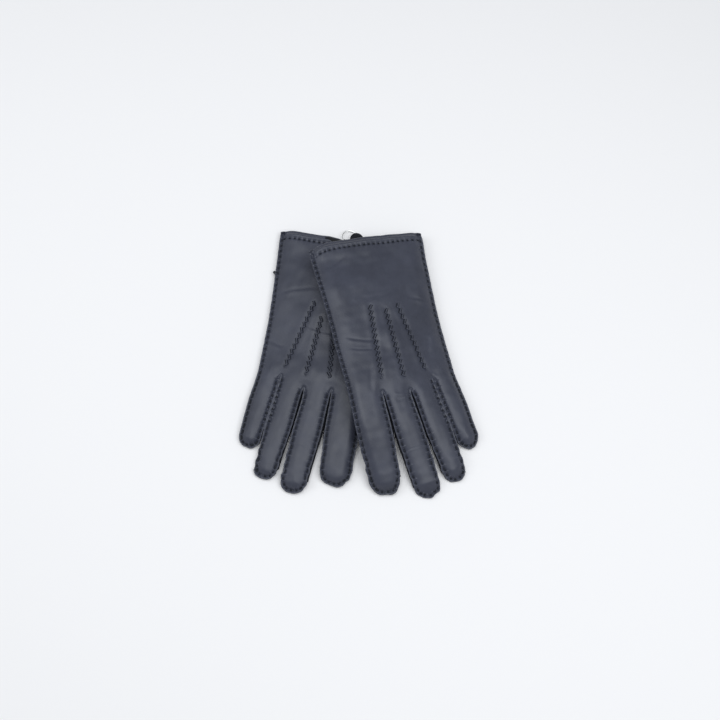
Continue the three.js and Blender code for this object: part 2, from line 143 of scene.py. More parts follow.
class GloveSizes(bpy.types.PropertyGroup):
    leather: length_setting("Leather", "Thickness of the outer leather", 0.0008, 0.0004, 0.002)
    seam_inset: length_setting("Seam inset", "From the raw edge to the stitches", 0.0022, 0.001, 0.004)
    stitch_pitch: length_setting("Stitch pitch", "From one outseam stitch to the next", 0.0057, 0.002, 0.01)
    stitch_length: length_setting("Stitch length", "Length of thread that shows", 0.0033, 0.001, 0.008)
    hem_pitch: length_setting("Hem stitch pitch", "From one hem stitch to the next", 0.0046, 0.002, 0.01)
    thread: length_setting("Thread", "Diameter of the sewing thread", 0.0018, 0.0003, 0.003)


class GloveColours(bpy.types.PropertyGroup):
    leather: colour_setting("Leather", "Colour of the dyed leather", (0.0365, 0.0400, 0.0580))
    edge: colour_setting("Raw edge", "Colour of the cut edges", (0.022, 0.032, 0.038))
    thread: colour_setting("Thread", "Colour of the sewing thread", (0.006, 0.007, 0.010))
    lining: colour_setting("Lining", "Colour of the knitted lining", (0.012, 0.014, 0.020))
    gloss: bpy.props.FloatProperty(name="Roughness", description="Roughness of the leather's finish",
                                   default=0.46, min=0.1, max=1.0, subtype="FACTOR")


class StageSettings(bpy.types.PropertyGroup):
    elevation: bpy.props.FloatProperty(name="Camera elevation", description="Angle over the floor",
                                       default=math.radians(72), subtype="ANGLE")
    distance: bpy.props.FloatProperty(name="Camera distance", description="From the camera to its target",
                                      default=0.9, min=0.2, max=5, unit="LENGTH")
    sky: bpy.props.FloatProperty(name="Room light", description="Brightness of the even light all round",
                                 default=0.34, min=0, max=5)
    softbox: bpy.props.FloatProperty(name="Softbox", description="Power of the large lamp overhead",
                                     default=20.0, min=0, max=200, subtype="POWER")


def sizes():
    return bpy.context.scene.glove_sizes


def seam_sizes():
    """Inset, pitch and visible length of the outseam's stitches, in millimetres."""
    return tuple(getattr(sizes(), k) * 1000 for k in ("seam_inset", "stitch_pitch", "stitch_length"))


def colours():
    return bpy.context.scene.glove_colours


# ---- Where a glove lies

def smoothstep(x, low, high):
    t = np.clip((np.asarray(x, float) - low) / (high - low), 0, 1)
    return t * t * (3 - 2 * t)


def place_gloves():
    """Finds each glove's own frame from two of its finger joints."""
    first, last = FINGERS["index"], FINGERS["little"]
    for glove in GLOVES.values():
        hand, side = glove["hand"], glove["side"]
        p = [np.array(JOINTS[f"{side}_{n}_bend"]["pos_m"][:2]) * 1000 for n in ("index", "little")]
        flat = np.array([hand * (last["across"] - first["across"]), -(last["along"] - first["along"])])
        turn = math.atan2(*(p[1] - p[0])[::-1]) - math.atan2(*flat[::-1])
        glove["x"] = np.array([math.cos(turn), math.sin(turn)])
        glove["y"] = np.array([-math.sin(turn), math.cos(turn)])
        start = np.array([hand * first["across"], -first["along"]])
        glove["origin"] = p[0] - glove["x"] * start[0] - glove["y"] * start[1]


def to_world(glove, a, l, z):
    """Points of a glove's own frame in the shared frame, in millimetres."""
    flat = np.outer(glove["hand"] * a, glove["x"]) - np.outer(l, glove["y"]) + glove["origin"]
    return np.column_stack([flat, z])


def thumb_reach(l):
    return smoothstep(l, 16, 52) * (1 - 0.5 * smoothstep(l, 132, 166)) * (1 - smoothstep(l, 150, 225))


def bed(glove, a, l):
    slope = math.tan(math.radians(glove["tilt"])) * np.maximum(0, CUFF_WIDTH / 2 - a)
    cuff = glove["lift"] * (1 - smoothstep(l, 0, 90))
    return (slope + cuff) * (1 - smoothstep(l, 158, 236))


def back_lie(glove, a, l):
    return bed(glove, a, l) + BACK_LIFT * thumb_reach(l) * (1 - smoothstep(a, -2, 46))


def palm_lie(glove, a, l, inside):
    """Height of the palm's bed. inside is 0 at the side seam and 1 away from it."""
    edge = BACK_LIFT * thumb_reach(l) * (1 - smoothstep(a, -2, 46))
    thumb = THUMB_LIFT * thumb_reach(l) * (1 - smoothstep(a, -9, 26))
    return bed(glove, a, l) + edge * (1 - inside) + thumb * inside


# ---- The cut of the panels

def hand_edges(l):
    wrist = smoothstep(l, 0, WRIST_AT)
    palm = smoothstep(l, WRIST_AT, 143)
    width = CUFF_WIDTH + (WRIST_WIDTH - CUFF_WIDTH) * wrist + (PALM_WIDTH - WRIST_WIDTH) * palm
    return PALM_SHIFT * palm - width / 2, PALM_SHIFT * palm + width / 2


def cuff_front(a):
    """along of the rolled edge: cut away at the thumb side's corner, a little rounded at the other."""
    s = np.clip(np.asarray(a, float) / CUFF_WIDTH + 0.5, 0, 1)
    return 7 * (1 - s) ** 9 + 1.6 * (1 - s) ** 2 - 1.2 + 2.2 * s ** 40


def finger_frame(f):
    lean = math.radians(f["lean"])
    return np.array([math.sin(lean), math.cos(lean)]), np.array([math.cos(lean), -math.sin(lean)])


def finger_bases(name):
    i = ORDER.index(name)
    left = OUTER_BASES[0] if i == 0 else CROTCHES[i - 1]
    right = OUTER_BASES[1] if i == 3 else CROTCHES[i]
    return np.array(left, float), np.array(right, float)


def crowd(u, hold=0.55):
    """Moves columns towards both edges, where the seams are."""
    return np.sign(u) * (hold * np.abs(u) + (1 - hold) * (1 - (1 - np.abs(u)) ** 2))


def round_cap(u, v, blunt):
    """A half disc from u from -1 to 1 and v from 0 to 1, fuller at its shoulders if blunt is over 2."""
    x, y = u * np.sqrt(1 - v * v / 2), v * np.sqrt(1 - u * u / 2)
    r = np.hypot(x, y)
    c, s = np.abs(x) / np.maximum(r, 1e-9), np.abs(y) / np.maximum(r, 1e-9)
    k = np.where(r > 1e-9, 1 / np.maximum(c ** blunt + s ** blunt, 1e-9) ** (1 / blunt), 1)
    return x * k, y * k


def finger_cut(name, u, v):
    """across and along of a finger panel: u runs over its width and v from the base to the tip."""
    f = FINGERS[name]
    way, aside = finger_frame(f)
    left, right = finger_bases(name)
    hinge = np.array([f["across"], f["along"]])
    neck = hinge + way * (f["length"] - f["cap"])
    ends = neck - aside * f["tip"] / 2, neck + aside * f["tip"] / 2
    share = 1 - 1.15 * f["cap"] / f["length"]
    w = np.clip(v / share, 0, 1)[:, None]
    belly = 0.9 * np.sin(np.pi * w) ** 2
    step = 1 - np.exp(-w * f["length"] / 5)
    low = left + (ends[0] - left) * w - aside * (belly - SLITS.get((name, -1), 0) * step * (1 - w))
    high = right + (ends[1] - right) * w + aside * (belly - SLITS.get((name, 1), 0) * step * (1 - w))
    shaft = low + (high - low) * ((u + 1) / 2)[:, None]
    vt = np.clip((v - share) / (1 - share), 0, 1)
    x, y = round_cap(u, vt, f["blunt"])
    cap = neck + np.outer(x * f["tip"] / 2, aside) + np.outer(y * f["cap"], way)
    return np.where((v > share)[:, None], cap, shaft)


def hand_cut(u, v):
    """across and along of a hand panel, whose columns run on into those of the fingers."""
    total = sum(COLUMNS.values())
    at = (u + 1) / 2 * total
    far = np.zeros((len(u), 2))
    start = 0
    for name in ORDER:
        n = COLUMNS[name]
        mine = (at >= start - 1e-6) & (at <= start + n + 1e-6)
        left, right = finger_bases(name)
        k = (crowd(np.clip((at[mine] - start) / n, 0, 1) * 2 - 1) + 1) / 2
        far[mine] = left + (right - left) * k[:, None]
        start += n
    low, high = hand_edges(far[:, 1])
    share = np.clip((far[:, 0] - low) / (high - low), 0, 1)
    share = np.where(at < 1e-6, 0, np.where(at > total - 1e-6, 1, share))
    front = cuff_front((share - 0.5) * CUFF_WIDTH)
    l = front + (far[:, 1] - front) * v
    low, high = hand_edges(l)
    return np.column_stack([low + (high - low) * share, l])


def make_outline():
    """The raw edge of a back panel from cuff to cuff round every finger, in labelled stretches."""
    parts = []
    l = np.linspace(float(cuff_front(-CUFF_WIDTH / 2)), OUTER_BASES[0][1], 24)
    parts.append(("hand_in", np.column_stack([hand_edges(l)[0], l])))
    for name in ORDER:
        w = np.r_[np.linspace(0, 0.1, 8), np.linspace(0.1, 0.8, 14)[1:], np.linspace(0.8, 1, 16)[1:]]
        one, lid = np.ones(len(w)), np.linspace(-1, 1, 20)
        run = np.vstack([finger_cut(name, -one, w), finger_cut(name, lid, np.ones(20)),
                         finger_cut(name, one, w[::-1])])
        keep = np.r_[True, np.hypot(*np.diff(run, axis=0).T) > 1e-4]
        parts.append((name, run[keep]))
    l = np.linspace(OUTER_BASES[1][1], float(cuff_front(CUFF_WIDTH / 2)), 24)
    parts.append(("hand_out", np.column_stack([hand_edges(l)[1], l])))
    return parts


OUTLINE = make_outline()
PATH = np.vstack([p if i == 0 else p[1:] for i, (_, p) in enumerate(OUTLINE)])
STEP = np.diff(PATH, axis=0)
STEP_LENGTH = np.hypot(*STEP.T)
RUN = np.r_[0, np.cumsum(STEP_LENGTH)]


def seam_of(a, l):
    """Distance from the raw edge, how far along it the nearest place is, and the directions of both."""
    points = np.column_stack([a, l])
    edge, run = np.zeros(len(a)), np.zeros(len(a))
    away, along = np.zeros((len(a), 2)), np.zeros((len(a), 2))
    for i in range(0, len(points), 4000):
        part = slice(i, i + 4000)
        px = points[part, 0, None] - PATH[None, :-1, 0]
        py = points[part, 1, None] - PATH[None, :-1, 1]
        t = np.clip((px * STEP[:, 0] + py * STEP[:, 1]) / np.maximum(STEP_LENGTH ** 2, 1e-12), 0, 1)
        px -= t * STEP[:, 0]
        py -= t * STEP[:, 1]
        k = (px * px + py * py).argmin(1)
        rows = np.arange(len(k))
        edge[part] = np.hypot(px[rows, k], py[rows, k])
        run[part] = RUN[k] + t[rows, k] * STEP_LENGTH[k]
        along[part] = STEP[k] / STEP_LENGTH[k][:, None]
        near = np.column_stack([px[rows, k], py[rows, k]]) / np.maximum(edge[part], 1e-9)[:, None]
        inward = np.column_stack([along[part][:, 1], -along[part][:, 0]])
        away[part] = np.where(edge[part][:, None] > 0.02, near, inward)
    return edge, run, away, along


def stretch_marks():
    """The run at which each stretch of the outline starts and ends."""
    marks, at = {}, 0.0
    for name, p in OUTLINE:
        length = np.hypot(*np.diff(p, axis=0).T).sum()
        marks[name] = (at, at + length)
        at += length
    return marks


MARKS = stretch_marks()


def seam_heights(run, top):
    """Height of the seam along the outline: low at the plain side seams, high or low beside a fourchette."""
    inner = INNER_SEAM if top else INNER_SEAM_LOW
    stops = [(0, HAND_SEAM)]
    for i, name in enumerate(ORDER):
        a, b = MARKS[name]
        tip = (a + b) / 2
        stops.append((a, HAND_SEAM if i == 0 else inner))
        stops += [(tip - 22, 5.0 if i == 0 else inner), (tip - 9, TIP_SEAM), (tip + 9, TIP_SEAM),
                  (tip + 22, 5.0 if i == 3 else inner)]
    stops += [(MARKS["hand_out"][0], HAND_SEAM), (MARKS["hand_out"][1], HAND_SEAM)]
    x, y = zip(*stops)
    return np.interp(run, x, y)


# ---- Relief

def ripples(a, l, seed, scale, count=14, stretch=1.0):
    """Soft random waves with a height of about 1."""
    rng = np.random.default_rng(seed)
    total = np.zeros(len(a))
    for _ in range(count):
        turn, phase = rng.uniform(0, 2 * np.pi, 2)
        k = 2 * np.pi / (scale * rng.uniform(0.6, 1.8))
        total += np.sin(k * (a * math.cos(turn) + l * math.sin(turn) * stretch) + phase)
    return total / math.sqrt(count)


def bell(x, width):
    return np.exp(-(x / width) ** 2)


def crease(a, l, start, end, width, depth, bow=0.0):
    """A shallow fold along a line, with a soft ridge beside it."""
    start, end = np.array(start, float), np.array(end, float)
    way = end - start
    length = np.hypot(*way)
    way /= length
    t = (a - start[0]) * way[0] + (l - start[1]) * way[1]
    d = (a - start[0]) * -way[1] + (l - start[1]) * way[0] - bow * np.sin(np.pi * np.clip(t / length, 0, 1))
    fade = smoothstep(t, 0, 0.3 * length) * (1 - smoothstep(t, 0.7 * length, length))
    return fade * depth * (0.8 * bell(d - 1.6 * width, 1.5 * width) - bell(d, width))


CREASES = {
    "left": [((-44, 92), (-6, 101), 1.5, 0.42, 2.0), ((-40, 104), (-14, 108), 1.2, 0.25, 1.0),
             ((24, 62), (46, 70), 1.6, 0.3, -1.5), ((-24, 60), (20, 56), 2.4, 0.3, 2.0),
             ((-15, 199), (11, 196), 0.7, 0.16, 0.8), ((-46, 28), (-20, 12), 1.8, 0.35, 2.0),
             ((30, 100), (48, 92), 1.6, 0.4, 1.0), ((-28, 150), (-21, 118), 2.2, 0.45, -1.0),
             ((26, 124), (36, 96), 2.6, 0.5, 2.0), ((-10, 151), (2, 152), 2.0, -0.5, 1.0)],
    "right": [((-30, 96), (20, 90), 1.6, 0.3, 2.0), ((8, 54), (46, 62), 1.8, 0.3, -2.0),
              ((-10, 200), (11, 196), 1.6, 0.15, 0.8), ((30, 112), (50, 104), 1.8, 0.3, 1.0)],
}
# Where each fingertip turns down, from its end, and how steeply.
TURNED_DOWN = {
    "left": {"index": (8.0, 0.40), "middle": (12.0, 0.85), "ring": (10.5, 0.70), "little": (9.0, 0.55)},
    "right": {"index": (8.0, 0.35), "middle": (8.0, 0.42), "ring": (8.0, 0.42), "little": (8.0, 0.35)},
}
# Places where an outline is pushed aside: the place, the push and its reach.
# The second one on the right gives the hanging button room to swing.
NUDGES = {
    "left": [((-20.5, 221.0), (-0.7, -0.5), 2.8), ((-26.5, 228.5), (0.6, 1.3), 2.8),
             ((55, 4), (1.4, -0.6), 9), ((42, 207), (1.2, -0.8), 3.0), ((55.5, 196), (0.6, -1.0), 4)],
    "right": [((55, 4), (0.6, 0.0), 9), ((-19, -3), (0.0, 5.4), 11), ((32, 230), (0.8, -0.8), 3),
              ((48, 206), (0.8, -0.6), 2.5)],
}


def nudge(glove, a, l):
    da, dl = np.zeros(len(a)), np.zeros(len(a))
    for (x, y), (px, py), reach in NUDGES[glove["side"]]:
        w = np.exp(-((a - x) ** 2 + (l - y) ** 2) / (2 * reach ** 2))
        da += px * w
        dl += py * w
    loose = 0.08 + 0.34 * smoothstep(l, 185, 212)
    da += loose * ripples(a, l, glove["seed"] + 7, 9, 8)
    dl += loose * ripples(a, l, glove["seed"] + 8, 9, 8)
    return a + da, l + dl


def stitch_phase(run, pitch):
    """Distance from the middle of the nearest stitch."""
    return np.abs((run / pitch) % 1 - 0.5) * pitch


POINT_PITCH = 5.4
POINT_SWAY = 1.05


def point_sway(t):
    """Sideways place of a point's ridge: a long slant one way, then a short step back."""
    turn = 2 * np.pi * np.asarray(t) / POINT_PITCH
    return -POINT_SWAY * (np.sin(turn) + 0.30 * np.sin(2 * turn)) / 0.98


def point_frames(glove):
    for start, end in POINTS[glove["side"]]:
        start, end = np.array(start), np.array(end)
        length = np.hypot(*(end - start))
        way = (end - start) / length
        yield start, way, np.array([-way[1], way[0]]), length


def point_valley(glove, a, l):
    """The hollow that each raised point stands in."""
    total = np.zeros(len(a))
    for start, way, aside, length in point_frames(glove):
        t = (a - start[0]) * way[0] + (l - start[1]) * way[1]
        d = (a - start[0]) * aside[0] + (l - start[1]) * aside[1]
        fade = smoothstep(t, -2.5, 2.5) * (1 - smoothstep(t, length - 2.5, length + 2.5))
        total += fade * (-0.55 * bell(d, 2.2) + 0.12 * bell(np.abs(d) - 4.4, 2.0))
    return total


def tip_fall(glove, a, l):
    total = np.zeros(len(a))
    for name in ORDER:
        f = FINGERS[name]
        way, aside = finger_frame(f)
        t = (a - f["across"]) * way[0] + (l - f["along"]) * way[1]
        s = np.abs((a - f["across"]) * aside[0] + (l - f["along"]) * aside[1])
        reach, slope = TURNED_DOWN[glove["side"]][name]
        past = (t - f["length"] + reach + 0.25 * (s - 5)) / 0.7
        fall = slope * 0.7 * np.logaddexp(0, np.clip(past, -30, 60)) + 1.2 * smoothstep(past, -14, 0)
        total = np.where(s < f["width"] * 0.6, fall * smoothstep(t, 30, 45), total)
    return total


def height_from(glove, a, l, edge, run, top):
    inset, pitch, length = seam_sizes()
    fall = tip_fall(glove, a, l)
    crotch = sum(np.exp(-((a - x) ** 2 + (l - y) ** 2) / 9.0) for x, y in CROTCHES)
    edge = edge * (1 + 1.3 * crotch)
    seam = np.maximum(seam_heights(run, top) - 0.42 * fall, 1.7)
    knuckle = smoothstep(l, *KNUCKLES)
    x = np.clip((edge - inset - 0.4) / (15 - 6.8 * knuckle), 0, 1)
    full = (1 - (1 - x) ** 2.3) ** 0.85
    phase = stitch_phase(run + (0 if top else pitch / 2), pitch)
    pocket = 1 - smoothstep(phase, length * 0.38, length * 0.66)
    rib = bell(pitch / 2 - phase, 0.5)
    sewn = (-STITCH_DIP * bell(edge - inset, 1.1) * pocket
            + RIB_HEIGHT * rib * bell(edge - inset - 0.2, 1.5))
    sewn = sewn * (1 - np.clip(crotch, 0, 1))
    if top:
        crown = HAND_CROWN + (FINGER_CROWN - HAND_CROWN) * knuckle - fall
        lip = 0.8 + 0.25 * np.clip(1 - edge / inset, 0, 1)
        z = back_lie(glove, a, l) + seam + lip + (crown - seam - lip) * full
        calm = 1 - 0.7 * knuckle
        z += full * (0.60 * calm * ripples(a, l, glove["seed"], 34)
                     + 0.13 * ripples(a, l, glove["seed"] + 1, 11, 20))
        z += point_valley(glove, a, l)
        z -= glove["sag"] * full * smoothstep(l, 66, 112) * (1 - smoothstep(l, 114, 143))
        for c in CREASES[glove["side"]]:
            z += crease(a, l, *c) * full
        hem = l - cuff_front(a)
        hem_phase = stitch_phase(a, sizes().hem_pitch * 1000)
        beat = 1 - smoothstep(hem_phase, 0.9, 1.6)
        z += np.clip(full * 2, 0, 1) * (
            -0.90 * bell(hem - HEM_STITCHES, 1.2) * (0.35 + 0.65 * beat)
            - 0.16 * beat * bell(hem - HEM_STITCHES, 2.4)
            + 0.8 * bell(hem - 3.4, 1.5) - 1.3 * (1 - smoothstep(hem, 0, 2.6)))
        return z + sewn
    crown = PALM_CROWN + 0.6 * knuckle
    z = palm_lie(glove, a, l, full) + seam - 0.8 + (crown - seam + 0.8) * full
    z += full * np.maximum(0, 0.25 * ripples(a, l, glove["seed"] + 5, 26))
    return z - sewn * 0.6


def panel_height(glove, flat, top):
    """Height of the outer face of the back (top) or palm leather."""
    a, l = flat.T
    edge, run, _, _ = seam_of(a, l)
    return height_from(glove, a, l, edge, run, top)


def outward(glove, flat, top):
    """The surface and its outward normals, in millimetres in the shared frame."""
    h = 0.2  # step that the slopes are measured over
    a, l = flat.T
    edge, run, away, along = seam_of(a, l)
    z = height_from(glove, a, l, edge, run, top)
    da = height_from(glove, a + h, l, edge + h * away[:, 0], run + h * along[:, 0], top) - z
    dl = height_from(glove, a, l + h, edge + h * away[:, 1], run + h * along[:, 1], top) - z
    lie = (np.outer(glove["hand"] * da, glove["x"]) - np.outer(dl, glove["y"])) / h
    n = np.column_stack([-lie, np.ones(len(a))]) * (1 if top else -1)
    na, nl = nudge(glove, a, l)
    return to_world(glove, na, nl, z), n / np.linalg.norm(n, axis=1)[:, None]


# ---- Making meshes

def fresh(chosen=None):
    """Deselects everything but the chosen object."""
    for o in bpy.context.selected_objects:
        o.select_set(False)
    bpy.context.view_layer.objects.active = chosen
    if chosen:
        chosen.select_set(True)


def sheet_piece(name, columns, rows, place, thickness):
    """A grid shaped by place(u, v), which gives points and outward normals, with its thickness inwards."""
    fresh()
    bpy.ops.mesh.primitive_grid_add(x_subdivisions=columns, y_subdivisions=rows, size=2)
    o = bpy.context.object
    o.name = o.data.name = name
    me = o.data
    n = len(me.vertices)
    co = np.zeros(n * 3)
    me.vertices.foreach_get("co", co)
    co = co.reshape(-1, 3)
    points, normals = place(co[:, 0].round(6), ((co[:, 1] + 1) / 2).round(6))
    me.vertices.foreach_set("co", (points * 0.001).ravel())
    me.update()
    faces = np.zeros(len(me.polygons) * 3)
    me.polygons.foreach_get("normal", faces)
    corner = np.array([p.vertices[0] for p in me.polygons])
    if (faces.reshape(-1, 3) * normals[corner]).sum() < 0:
        me.flip_normals()
    solid = o.modifiers.new("Thickness", "SOLIDIFY")
    solid.thickness, solid.offset, solid.material_offset_rim = thickness, -1, 1
    bpy.ops.object.modifier_apply(modifier=solid.name)
    me = o.data
    me.polygons.foreach_set("use_smooth", np.ones(len(me.polygons), bool))
    loops = np.zeros(len(me.loops), int)
    me.loops.foreach_get("vertex_index", loops)
    face_of = np.repeat(np.arange(len(me.polygons)), [p.loop_total for p in me.polygons])
    fn = np.zeros(len(me.polygons) * 3)
    me.polygons.foreach_get("normal", fn)
    fn = fn.reshape(-1, 3)
    outer = loops < n
    spread = np.zeros(len(me.polygons))
    np.add.at(spread, face_of, outer)
    rim = (spread[face_of] > 0) & (spread[face_of] < 4)
    custom = np.where(outer[:, None], normals[loops % n], -normals[loops % n])
    custom[rim] = fn[face_of[rim]]
    me.normals_split_custom_set(custom.tolist())
    return o


def merged_mesh(name, points, faces):
    me = bpy.data.meshes.new(name)
    me.from_pydata((np.asarray(points) * 0.001).tolist(), [], faces)
    me.update()
    o = bpy.data.objects.new(name, me)
    bpy.context.scene.collection.objects.link(o)
    me.polygons.foreach_set("use_smooth", np.ones(len(me.polygons), bool))
    return o


def one_stitch():
    """The shape of one stitch of thread, a rounded sausage along X, from -1 to 1 each way."""
    fresh()
    bpy.ops.mesh.primitive_uv_sphere_add(segments=8, ring_count=6, radius=1, rotation=(0, math.pi / 2, 0))
    o = bpy.context.object
    bpy.ops.object.transform_apply(location=False, rotation=True, scale=False)
    points = np.array([v.co[:] for v in o.data.vertices])
    faces = [tuple(p.vertices) for p in o.data.polygons]
    bpy.data.objects.remove(o)
    points[:, 0] = np.sign(points[:, 0]) * np.abs(points[:, 0]) ** 0.8
    return points, faces


def thread_piece(name, ends, ups, radius, arch=0.35):
    """Stitches of thread: ends holds pairs of points in millimetres, ups the leather's normal at each."""
    shape, faces = one_stitch()
    points, all_faces = [], []
    for i, ((p, q), up) in enumerate(zip(ends, ups)):
        p, q, up = np.array(p), np.array(q), np.array(up)
        way = (q - p) / 2
        along = way / np.linalg.norm(way)
        aside = np.cross(up, along)
        aside /= np.linalg.norm(aside)
        up = np.cross(along, aside)
        rise = 0.55 * radius * shape[:, 2] + arch * (1 - shape[:, 0] ** 2)
        points.append((p + q) / 2 + np.outer(shape[:, 0], way) + np.outer(shape[:, 1] * radius, aside)
                      + np.outer(rise, up))
        all_faces += [tuple(v + i * len(shape) for v in f) for f in faces]
    return merged_mesh(name, np.vstack(points), all_faces)


# ---- Materials

def group_of(name, ins, outs):
    group = bpy.data.node_groups.new(name, "ShaderNodeTree")
    for label, kind, default in ins:
        s = group.interface.new_socket(label, in_out="INPUT", socket_type=kind)
        s.default_value = default
    for label, kind in outs:
        group.interface.new_socket(label, in_out="OUTPUT", socket_type=kind)
    return group, group.nodes.new("NodeGroupInput"), group.nodes.new("NodeGroupOutput")


def node(tree, kind, links=(), **values):
    n = tree.nodes.new(kind)
    for k, v in values.items():
        if k.startswith("in_"):
            key = k[3:]
            n.inputs[int(key) if key.isdigit() else key.replace("_", " ")].default_value = v
        else:
            setattr(n, k, v)
    for socket, source in links:
        tree.links.new(source, n.inputs[socket])
    return n


def spread(tree, value, low, high, to_low, to_high):
    """A value from one range carried over to another."""
    return node(tree, "ShaderNodeMapRange", [("Value", value)], in_1=low, in_2=high, in_3=to_low,
                in_4=to_high).outputs[0]


def leather_group():
    """Grain, soft tone and gloss of smooth glove leather."""
    g, i, o = group_of("Glove Leather Grain", [("Vector", "NodeSocketVector", (0, 0, 0)),
                                               ("Tint", "NodeSocketColor", (0.04, 0.045, 0.055, 1)),
                                               ("Gloss", "NodeSocketFloat", 0.46)],
                       [("Color", "NodeSocketColor"), ("Roughness", "NodeSocketFloat"),
                        ("Height", "NodeSocketFloat")])

    def noise(scale, detail, roughness):
        return node(g, "ShaderNodeTexNoise", [("Vector", i.outputs["Vector"])], in_Scale=scale,
                    in_Detail=detail, in_Roughness=roughness).outputs["Fac"]

    pores = node(g, "ShaderNodeTexVoronoi", [("Vector", i.outputs["Vector"])], feature="DISTANCE_TO_EDGE",
                 in_Scale=1500.0)
    fine, soft, mottle = noise(900.0, 4.0, 0.6), noise(26.0, 3.0, 0.55), noise(140.0, 5.0, 0.6)
    tone = spread(g, soft, 0.3, 0.7, 0.86, 1.14)
    spot = spread(g, mottle, 0.3, 0.7, 0.93, 1.07)
    both = node(g, "ShaderNodeMath", [(0, tone), (1, spot)], operation="MULTIPLY")
    colour = node(g, "ShaderNodeVectorMath", [(0, i.outputs["Tint"]), ("Scale", both.outputs[0])],
                  operation="SCALE")
    rough = spread(g, mottle, 0.25, 0.75, -0.06, 0.07)
    gloss = node(g, "ShaderNodeMath", [(0, i.outputs["Gloss"]), (1, rough)], operation="ADD")
    cell = spread(g, pores.outputs["Distance"], 0.0, 0.35, 0.0, 1.0)
    grain = node(g, "ShaderNodeMath", [(0, cell), (1, fine)], operation="ADD")
    for label, source in (("Color", colour), ("Roughness", gloss), ("Height", grain)):
        g.links.new(source.outputs[0], o.inputs[label])
    return g


def knit_group():
    """Ribs and loops of a fine knit from a vector in metres."""
    g, i, o = group_of("Fine Knit", [("Vector", "NodeSocketVector", (0, 0, 0))],
                       [("Mask", "NodeSocketFloat"), ("Height", "NodeSocketFloat")])
    ribs, rows = (node(g, "ShaderNodeTexWave", [("Vector", i.outputs[0])], bands_direction=way,
                       in_Scale=scale, in_Distortion=warp, in_Detail=1.0)
                  for way, scale, warp in (("X", 420.0, 1.2), ("Y", 300.0, 1.5)))
    both = node(g, "ShaderNodeMath", [(0, ribs.outputs["Fac"]), (1, rows.outputs["Fac"])],
                operation="MULTIPLY")
    for label in ("Mask", "Height"):
        g.links.new(both.outputs[0], o.inputs[label])
    return g


GROUPS = {}


def shared(name, make):
    if name not in GROUPS:
        GROUPS[name] = make()
    return GROUPS[name]


def new_material(name, **values):
    """A material and its tree and shader, with values for the shader's own inputs."""
    m = bpy.data.materials.new(name)
    m.use_nodes = True
    shader = m.node_tree.nodes["Principled BSDF"]
    for key, value in values.items():
        shader.inputs[key.replace("_", " ")].default_value = value
    return m, m.node_tree, shader


def rgba(colour, times=1.0):
    return (*(c * times for c in colour), 1.0)


def object_place(tree):
    return node(tree, "ShaderNodeTexCoord").outputs["Object"]


def raise_surface(tree, shader, height, strength, distance):
    relief = node(tree, "ShaderNodeBump", [("Height", height)], in_Strength=strength, in_Distance=distance)
    tree.links.new(relief.outputs["Normal"], shader.inputs["Normal"])


def two_tones(tree, shader, mask, dark, light):
    tone = node(tree, "ShaderNodeMix", [("Factor", mask)], data_type="RGBA")
    tone.inputs[6].default_value, tone.inputs[7].default_value = dark, light
    tree.links.new(tone.outputs[2], shader.inputs["Base Color"])


def leather_material(name, colour, times, gloss, bump, shine):
    m, tree, shader = new_material(name, IOR=1.48, Specular_IOR_Level=shine)
    grain = node(tree, "ShaderNodeGroup", node_tree=shared("leather", leather_group))
    tree.links.new(object_place(tree), grain.inputs["Vector"])
    grain.inputs["Tint"].default_value = rgba(colour, times)
    grain.inputs["Gloss"].default_value = gloss
    raise_surface(tree, shader, grain.outputs["Height"], bump, 0.0002)
    tree.links.new(grain.outputs["Color"], shader.inputs["Base Color"])
    tree.links.new(grain.outputs["Roughness"], shader.inputs["Roughness"])
    return m


def thread_material():
    m, tree, shader = new_material("Waxed Thread", Roughness=0.62, Specular_IOR_Level=0.25)
    twist = node(tree, "ShaderNodeTexWave", [("Vector", object_place(tree))], bands_direction="DIAGONAL",
                 in_Scale=600.0, in_Distortion=2.0).outputs["Fac"]
    two_tones(tree, shader, twist, rgba(colours().thread), rgba(colours().thread, 2.2))
    raise_surface(tree, shader, twist, 0.5, 0.0001)
    return m


def knit_material(name, colour, roughness):
    m, tree, shader = new_material(name, Roughness=roughness)
    knit = node(tree, "ShaderNodeGroup", node_tree=shared("knit", knit_group))
    tree.links.new(object_place(tree), knit.inputs["Vector"])
    two_tones(tree, shader, knit.outputs["Mask"], rgba(colour, 0.5), rgba(colour, 1.6))
    raise_surface(tree, shader, knit.outputs["Height"], 0.7, 0.0004)
    return m


def steel_material():
    m, tree, shader = new_material("Plated Wire", Base_Color=(0.80, 0.80, 0.78, 1), Metallic=1.0)
    wear = node(tree, "ShaderNodeTexNoise", [("Vector", object_place(tree))], in_Scale=400.0, in_Detail=3.0)
    rough = spread(tree, wear.outputs["Fac"], 0.3, 0.7, 0.22, 0.38)
    tree.links.new(rough, shader.inputs["Roughness"])
    return m


MATERIALS = {}


def material_for(key):
    """The material of one kind of piece, made once."""
    c = colours()
    leathers = {  # name, colour, times, roughness, bump and shine
        "back": ("Smooth Glove Leather", c.leather, 1.0, c.gloss, 0.12, 0.5),
        "palm": ("Palm Leather", c.leather, 0.92, c.gloss + 0.04, 0.12, 0.5),
        # The side strips take the leather's colour at half strength: painted shade for the shadow between the
        # fingers
        "side": ("Side Strip Leather Painted Shade", c.leather, 0.5, c.gloss + 0.2, 0.12, 0.5),
        "edge": ("Raw Edge", c.edge, 1.0, 0.8, 0.3, 0.5),
        "button": ("Covered Button", c.thread, 1.0, 0.55, 0.5, 0.2),
    }
    if key not in MATERIALS:
        if key in leathers:
            MATERIALS[key] = leather_material(*leathers[key])
        elif key in ("lining", "ribbon"):
            MATERIALS[key] = knit_material(*{"lining": ("Knitted Lining", c.lining, 0.95),
                                             "ribbon": ("Woven Ribbon", c.thread, 0.6)}[key])
        else:
            MATERIALS[key] = {"thread": thread_material, "steel": steel_material}[key]()
    return MATERIALS[key]


